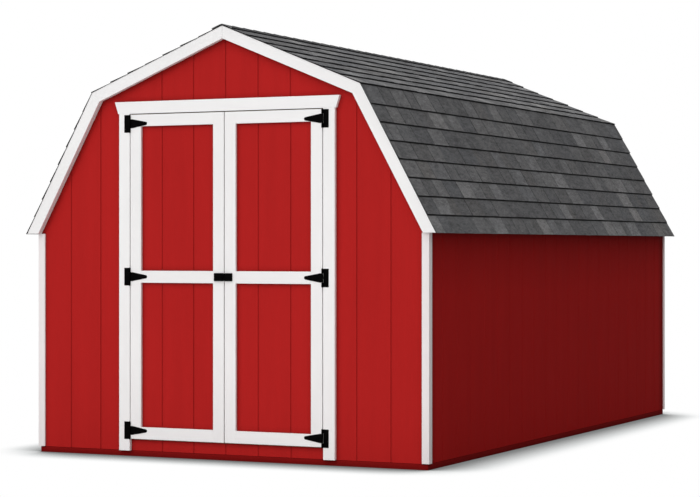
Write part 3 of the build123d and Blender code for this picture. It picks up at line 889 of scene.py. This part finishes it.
def wedge(bld, top, side, y0, y1, s0, s1, d0a, d0b, d1a, d1b, tone, hue, v0=0.0, v1=1.0, lean=0.0, foot=0.0, ends=1):
    """One shingle tab: butt at s0 with its faces d0a and d0b deep, thinning to
    s1. lean narrows the butt. foot is how far its underside sets back."""
    q = [slope_point(top, s0, d0a), slope_point(top, s1, d1a), slope_point(top, s1, d1b), slope_point(top, s0 + foot, d0b)]
    verts = []
    for yy, l in ((y0, lean), (y1, -lean)):
        for i, (x, z) in enumerate(q):
            verts.append((side * x, yy + (l if i in (0, 3) else 0.0), z))
    faces = [(0, 1, 5, 4), (1, 2, 6, 5), (2, 3, 7, 6), (3, 0, 4, 7), (0, 3, 2, 1), (4, 5, 6, 7)]
    a = 1 if y0 <= YS0 + 1 else ends
    b = 1 if y1 >= YS1 - 1 else ends
    bld.add(verts, faces, [0, 1, 1, 1, a, b], up=[v0, v1, v1, v0] * 2, tone=tone, hue=hue)


def tones(rng, base=False):
    """Shade of one tab: most are charcoal, some lighter, a few tinted."""
    r = rng.random()
    if base:
        tone = rng.uniform(0.02, 0.16)
    else:
        tone = rng.uniform(0.00, 0.17) if r < 0.62 else (rng.uniform(0.22, 0.38) if r < 0.88 else rng.uniform(0.44, 0.66))
    hue = rng.gauss(0.5, 0.22)
    return tone, min(1.0, max(0.0, hue))


def courses(top, starts, end, seed):
    bld = Build()
    for side in (1, -1):
        r = random.Random(seed + (0 if side > 0 else 500))
        for i, s0 in enumerate(starts):
            s1 = starts[i + 1] if i + 1 < len(starts) else end
            last = i + 1 == len(starts)
            reach = s1 + (0 if last else 6)
            v1 = 1.0 if last else (reach - s0) / (s1 - s0)
            first = i == 0 and not top
            butt = 0.35 if not first else 2.6
            foot = 0.0 if not first else 7.0 / math.tan(ang_l)
            # the full sheet of the course, in lengths with their own shade
            y = YS0
            while y < YS1 - 1:
                w = r.uniform(150, 330)
                y2 = YS1 if y + w > YS1 - 110 else y + w
                t, hue = tones(r, True)
                wedge(bld, top, side, y, y2, s0, reach, butt + 2.2, shingle_t - 0.1, TAB_TOP + 0.5, shingle_t,
                      t, hue, 0.0, v1, 0.0, foot)
                y = y2
            # the laminated tabs on it
            y = YS0 + r.uniform(-120, 60)
            while y < YS1:
                w = r.uniform(120, 225)
                a, c = max(y, YS0), min(y + w, YS1)
                if c - a > 35:
                    t, hue = tones(r)
                    lift = r.uniform(-0.35, 0.35)
                    lean = r.uniform(1.0, 4.0) if a > YS0 and c < YS1 else 0.0
                    wedge(bld, top, side, a, c, s0 - r.uniform(0.0, 1.2) * (0 if first else 1), reach,
                          butt + lift + 0.15, butt + 3.6, TAB_TOP, TAB_TOP + 0.9, t, hue, 0.0, v1, lean, foot * 0.3, 0)
                y += w
                if r.random() < 0.70:
                    # a tight joint: a thin sliver coloured by the dark butt band, partly the dark shingle beneath and
                    # partly painted shadow in the cut
                    j = r.uniform(3.5, 7.0)
                    if y > YS0 + 40 and y + j < YS1 - 40:
                        wedge(bld, top, side, y - 0.5, y + j + 0.5, s0 + 0.5, reach, butt + 1.5, butt + 3.6,
                              TAB_TOP + 0.3, TAB_TOP + 0.9, 0.0, 0.5, 0.97, 0.97)
                    y += j
                else:
                    y += r.uniform(60, 130)
    return bld


low_starts = [925.2 - q for q in (925.2, 811.3, 697.4, 583.5, 469.7, 355.8, 241.9, 128.0)]
up_starts = [-2.0, 137.5, 259.5, 383.0, 507.0, 630.5, 755.5]
b = courses(False, low_starts, 925.2, 101)
b.make("shingle_courses_lower", "barn", "shingles", [M["grit_low"], M["asphalt"]], ["shingles_lower"])
b = courses(True, up_starts, 916.4, 202)
b.make("shingle_courses_upper", "barn", "shingles", [M["grit_up"], M["asphalt"]], ["shingles_upper"])

# Ridge cap: short pieces bent over the ridge, each lapping the next one.
b = Build()
r = random.Random(303)
cap_w, cap_step, cap_len = 62.0, 127.0, 190.0
y = YS0
while y < YS1 - 1:
    y1 = min(y + cap_len, YS1)
    t, hue = tones(r)
    jit = r.uniform(-1.5, 1.5)
    prof = []
    for q in (-1.0, -0.55, -0.22, 0.0, 0.22, 0.55, 1.0):
        x = q * cap_w
        round_off = 5.0 * max(0.0, 1 - abs(x) / 22.0) ** 2
        prof.append((x, ridge_z + 2.9 - round_off * 0.35 - abs(x) * math.tan(ang_u) * 0.965))
    verts, ups = [], []
    n = len(prof)
    for yy, lift in ((y, 0.0), (y1, -3.4)):
        for x, z in prof:
            verts.append((x + (jit if x > 0 else -jit if x < 0 else 0), yy, z + lift))
            ups.append(0.5)
        for x, z in prof:
            verts.append((x * 0.995 + (jit if x > 0 else -jit if x < 0 else 0), yy, z + lift - (7.0 if abs(x) > 50 else 4.6)))
            ups.append(0.5)
    faces, mats = [], []
    o = 2 * n
    for i in range(n - 1):
        faces += [(i, i + 1, o + i + 1, o + i), (n + i, o + n + i, o + n + i + 1, n + i + 1),
                  (i, n + i, n + i + 1, i + 1), (o + i, o + i + 1, o + n + i + 1, o + n + i)]
        mats += [0, 1, 1, 1]
    faces += [(0, o, o + n, n), (n - 1, 2 * n - 1, o + 2 * n - 1, o + n - 1)]
    mats += [1, 1]
    if y == YS0:
        mats = [0 if k % 4 == 2 else q for k, q in enumerate(mats)]
    b.add(verts, faces, mats, up=ups, tone=t, hue=hue)
    y += cap_step
b.make("ridge_cap_shingles", "barn", "shingles", [M["grit_cap"], M["asphalt"]], ["ridge_cap"])

# ------------------------------------------------------------------ door leaves
zm = (mid_rail_z[0] + mid_rail_z[1]) / 2
lx0, lx1 = seam_half, door_half - door_gap
bx0, bx1 = lx0 + 8.0, lx1 - 8.0
bz0, bz1 = deck_top + 6.0, leaf_z1 - 8.0


def screw(bld, x, y, z, r=4.2, rise=1.5, sides=14):
    """Pan head, with a small recess in its face."""
    bld.turned(x, y, z, [(0.4, r), (-rise * 0.45, r), (-rise * 0.85, r * 0.78), (-rise, r * 0.45),
                         (-rise, r * 0.30), (-rise + 0.6, r * 0.18)], sides, "y")


for side, s, body in (("left", -1, "door_left"), ("right", 1, "door_right")):
    def X(a, b_, s=s):
        return (a, b_) if s > 0 else (-b_, -a)

    b = Build()
    siding(b, *X(lx0, lx1), leaf_z0, lambda u: leaf_z1, (), leaf_grooves[side], lambda u, w, z: (u, yp0 + w, z), panel_t)
    b.make(side + "_door_sheet", body, "red_siding", [M["red"], M["back"]], [side + "_door_panel"])

    b = Build()
    for a, c in ((lx0, lx0 + stile_w), (lx1 - stile_w, lx1)):
        b.box(*X(a, c), yt0, yp0, leaf_z0, leaf_z1, "z", rng, bevel=TRIM, every_edge=True)
    b.make(side + "_door_stile_boards", body, "white_trim", [M["white"]], [side + "_door_stiles"])

    b = Build()
    for z0, z1 in ((leaf_z0, bottom_rail_z), mid_rail_z, (top_rail_z, leaf_z1)):
        b.box(*X(lx0 + stile_w, lx1 - stile_w), yt0, yp0, z0, z1, "x", rng, bevel=TRIM, every_edge=True)
    b.make(side + "_door_rail_boards", body, "white_trim", [M["white"]], [side + "_door_rails"])

    b = Build()
    for a, c in ((bx0, bx0 + 88.9), (bx1 - 88.9, bx1)):
        b.box(*X(a, c), yp1, yp1 + 38.1, bz0, bz1, "z", rng, bevel=EASE)
    for z0, z1 in ((bz0, bz0 + 88.9), (zm - 44.45, zm + 44.45), (bz1 - 88.9, bz1)):
        b.box(*X(bx0 + 89.9, bx1 - 89.9), yp1, yp1 + 38.1, z0, z1, "x", rng, bevel=EASE)
    b.make(side + "_door_back_boards", body, "framing_lumber", [M["wood"]], [side + "_door_back_frame"])

    # straps with their middle knuckles and screws
    b = Build()
    for z in hinge_z:
        hh = 25.2
        x_tip, tr = door_half - 114.3, 9.5
        pts = [(pin_x - 5.4, z - hh), (pin_x - 5.4, z + hh), (pin_x - 16, z + hh)]
        for i in range(13):
            t = math.radians(90 + i * 15)
            pts.append((x_tip + tr + tr * math.cos(t), z + tr * math.sin(t)))
        pts.append((pin_x - 16, z - hh))
        b.board(pts if s > 0 else flip(pts), "y", yt0 - 2.5, yt0, (1, 0, 0), rng, bevel=0.7, every_edge=True)
        # the leaf rolls round the pin
        b.box(*X(pin_x - 6.5, pin_x), yt0 - 2.5, yt0 - 0.3, z - hh, z + hh, "z", rng)
        b.turned(s * pin_x, pin_y, z, [(-hh, 4.2), (-hh + 0.6, 4.8), (hh - 0.6, 4.8), (hh, 4.2)], 24)
        for dx, dz in ((18, 15), (18, -15), (52, 0), (90, 0)):
            screw(b, s * (pin_x - dx), yt0 - 2.5, z + dz)
    b.make(side + "_hinge_strap_irons", body, "black_iron", [M["iron"]], [side + "_door_hinge_straps"], 35)

b = Build()
for z in hinge_z:
    for s in (-1, 1):
        g, hh = 25.4 + 1.1, 50.0
        x0, x1 = pin_x + 5.6, door_half + 34.3
        a, c = (x0, x1) if s > 0 else (-x1, -x0)
        b.box(a, c, yt0 - 2.5, yt0, z - hh, z + hh, "z", rng, bevel=0.7, every_edge=True)
        for e in (-1, 1):
            z0, z1 = sorted((z + e * g, z + e * hh))
            p0, p1 = (pin_x, x0 + 0.5) if s > 0 else (-x0 - 0.5, -pin_x)
            b.box(p0, p1, yt0 - 2.5, yt0 - 0.3, z0, z1, "z", rng)
            b.turned(s * pin_x, pin_y, (z0 + z1) / 2,
                     [(-(z1 - z0) / 2, 4.2), (-(z1 - z0) / 2 + 0.6, 4.8), ((z1 - z0) / 2 - 0.6, 4.8), ((z1 - z0) / 2, 4.2)], 24)
        b.turned(s * pin_x, pin_y, z, [(-hh - 2.5, 1.6), (-hh - 1.6, 2.5), (hh + 0.2, 2.5), (hh + 1.6, 2.3), (hh + 2.5, 1.4)], 20)
        for dx, dz in ((14, 36), (14, -36), (24, 0)):
            screw(b, s * (x0 + dx * 0.9), yt0 - 2.5, z + dz)
b.make("hinge_plate_irons", "barn", "black_iron", [M["iron"]], ["hinge_plates"], 35)

# --------------------------------------------------------------------- latch
lz0, lz1 = 998.5, 1043.5
lzm = (lz0 + lz1) / 2
b = Build()
b.box(-62.0, -seam_half, yt0 - 2.5, yt0, lz0, lz1, "x", rng, bevel=0.7, every_edge=True)
b.box(-59.5, -seam_half, yt0 - 13.0, yt0 - 2.2, lz0 + 2, lz1 - 2, "x", rng, bevel=1.4, every_edge=True, segments=3)
b.turned(-34.0, yt0 - 12.6, lzm, [(0, 4.0), (-3.2, 3.6), (-4.2, 2.6), (-4.4, 1.2)], 20, "y")
for dx in (-54.0, -12.0):
    for dz in (-11.0, 11.0):
        screw(b, dx, yt0 - 13.0, lzm + dz, 2.8, 1.0)
b.make("latch_bolt_housing", "door_left", "black_iron", [M["iron"]], ["latch_bolt"], 35)
b = Build()
b.box(seam_half, 52.0, yt0 - 2.5, yt0, lz0, lz1, "x", rng, bevel=0.7, every_edge=True)
b.box(seam_half, 49.5, yt0 - 13.0, yt0 - 2.2, lz0 + 2, lz1 - 2, "x", rng, bevel=1.4, every_edge=True, segments=3)
for dx in (12.0, 42.0):
    for dz in (-11.0, 11.0):
        screw(b, dx, yt0 - 13.0, lzm + dz, 2.8, 1.0)
b.make("latch_keeper_housing", "door_right", "black_iron", [M["iron"]], ["latch_keeper"], 35)

steel = Mat("nail_steel", (0.35, 0.34, 0.33), 0.45, 0.5)
steel.b.inputs["Metallic"].default_value = 1.0
sn = steel.noise(steel.obj(), 900.0, 3.0, 0.6)
steel.colour(steel.mix(sn, (0.20, 0.19, 0.18), (0.42, 0.41, 0.40)))
steel.rough(steel.range(sn, 0.3, 0.7, 0.4, 0.6))
nails.make("gusset_nails", "barn", "plywood", [steel.m], [])

# ------------------------------------------------------------- floor and lights
# The floor the camera sees glows: painted light, an emission that falls with ambient occlusion into a painted contact
# shadow round the barn. Other rays meet a plain diffuse floor, paler in front of the barn.
floor_mat = bpy.data.materials.new("stage_floor")
floor_mat.use_nodes = True
t = floor_mat.node_tree
t.nodes.clear()
out = t.nodes.new("ShaderNodeOutputMaterial")
mixer = t.nodes.new("ShaderNodeMixShader")
path = t.nodes.new("ShaderNodeLightPath")
dim = t.nodes.new("ShaderNodeBsdfDiffuse")
fcoord = t.nodes.new("ShaderNodeTexCoord")
fsep = t.nodes.new("ShaderNodeSeparateXYZ")
fmap = t.nodes.new("ShaderNodeMapRange")
fmap.inputs["From Min"].default_value = -2.85
fmap.inputs["From Max"].default_value = -2.3
fmap.inputs["To Min"].default_value = 0.93
fmap.inputs["To Max"].default_value = 0.45
t.links.new(fcoord.outputs["Object"], fsep.inputs[0])
t.links.new(fsep.outputs[1], fmap.inputs["Value"])
t.links.new(fmap.outputs["Result"], dim.inputs["Color"])
ao = t.nodes.new("ShaderNodeAmbientOcclusion")
ao.samples = 24
ao.inputs["Distance"].default_value = 0.42
ao.inputs["Color"].default_value = (1, 1, 1, 1)
ramp = t.nodes.new("ShaderNodeValToRGB")
steps = [(0.46, 0.165), (0.56, 0.225), (0.62, 0.315), (0.68, 0.435), (0.75, 0.57), (0.85, 0.79), (0.935, 1.0)]
while len(ramp.color_ramp.elements) < len(steps):
    ramp.color_ramp.elements.new(0.5)
for e, (p, v) in zip(ramp.color_ramp.elements, steps):
    e.position = p
    e.color = (v * 0.985, v, v, 1) if v < 1 else (1, 1, 1, 1)
glow = t.nodes.new("ShaderNodeEmission")
glow.inputs["Strength"].default_value = 1.0
t.links.new(ao.outputs["AO"], ramp.inputs["Fac"])
t.links.new(ramp.outputs["Color"], glow.inputs["Color"])
t.links.new(path.outputs["Is Camera Ray"], mixer.inputs["Fac"])
t.links.new(dim.outputs[0], mixer.inputs[1])
t.links.new(glow.outputs[0], mixer.inputs[2])
t.links.new(mixer.outputs[0], out.inputs["Surface"])
mesh = bpy.data.meshes.new("floor")
R = 60.0
mesh.from_pydata([(-R, -R, 0), (R, -R, 0), (R, R, 0), (-R, R, 0)], [], [(0, 1, 2, 3)])
floor = bpy.data.objects.new("floor", mesh)
mesh.materials.append(floor_mat)
bpy.context.scene.collection.objects.link(floor)
floor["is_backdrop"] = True

world = bpy.data.worlds.new("studio")
bpy.context.scene.world = world
world.use_nodes = True
t = world.node_tree
t.nodes.clear()
wout = t.nodes.new("ShaderNodeOutputWorld")
coord = t.nodes.new("ShaderNodeTexCoord")


def wmath(op, a, b=0.0, clamp=False):
    n = t.nodes.new("ShaderNodeMath")
    n.operation = op
    n.use_clamp = clamp
    for i, q in enumerate((a, b)):
        if isinstance(q, bpy.types.NodeSocket):
            t.links.new(q, n.inputs[i])
        else:
            n.inputs[i].default_value = q
    return n.outputs[0]


GAIN = 1.15
L = Vector((-0.05, -0.80, 0.42)).normalized()
dot = t.nodes.new("ShaderNodeVectorMath")
dot.operation = "DOT_PRODUCT"
t.links.new(coord.outputs["Generated"], dot.inputs[0])
dot.inputs[1].default_value = L
key = wmath("MULTIPLY", wmath("POWER", wmath("MAXIMUM", dot.outputs["Value"], 0.0), 4.0), 2.2 * GAIN)
sep = t.nodes.new("ShaderNodeSeparateXYZ")
t.links.new(coord.outputs["Generated"], sep.inputs[0])
sky = wmath("ADD", wmath("MULTIPLY", wmath("MAXIMUM", sep.outputs[2], 0.0), 0.42 * GAIN), 0.104 * GAIN)
lit = t.nodes.new("ShaderNodeBackground")
t.links.new(wmath("ADD", key, sky), lit.inputs["Strength"])
seen = t.nodes.new("ShaderNodeBackground")
seen.inputs["Color"].default_value = (1, 1, 1, 1)
seen.inputs["Strength"].default_value = 1.0
wp = t.nodes.new("ShaderNodeLightPath")
wm = t.nodes.new("ShaderNodeMixShader")
t.links.new(wp.outputs["Is Camera Ray"], wm.inputs["Fac"])
t.links.new(lit.outputs[0], wm.inputs[1])
t.links.new(seen.outputs[0], wm.inputs[2])
t.links.new(wm.outputs[0], wout.inputs["Surface"])

scene = bpy.context.scene
scene.view_settings.view_transform = "Standard"
scene.view_settings.look = "None"
scene.view_settings.exposure = 0.0
scene.view_settings.gamma = 1.0

# ----------------------------------------------------------------------- camera
cam_data = bpy.data.cameras.new("camera")
cam = bpy.data.objects.new("camera", cam_data)
scene.collection.objects.link(cam)
cam.location = (5.6896, -12.6717, 1.1914)
cam.rotation_euler = (math.pi / 2, 0.0, 0.4486)
cam_data.sensor_width = 36.0
cam_data.lens = 110.568
cam_data.shift_x = 0.034187
cam_data.shift_y = -0.002865
cam_data.clip_start, cam_data.clip_end = 0.1, 200.0
scene.camera = cam

lo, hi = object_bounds()
{"cad": [list(cad_lo), list(cad_hi)], "visual": [list(lo), list(hi)]}
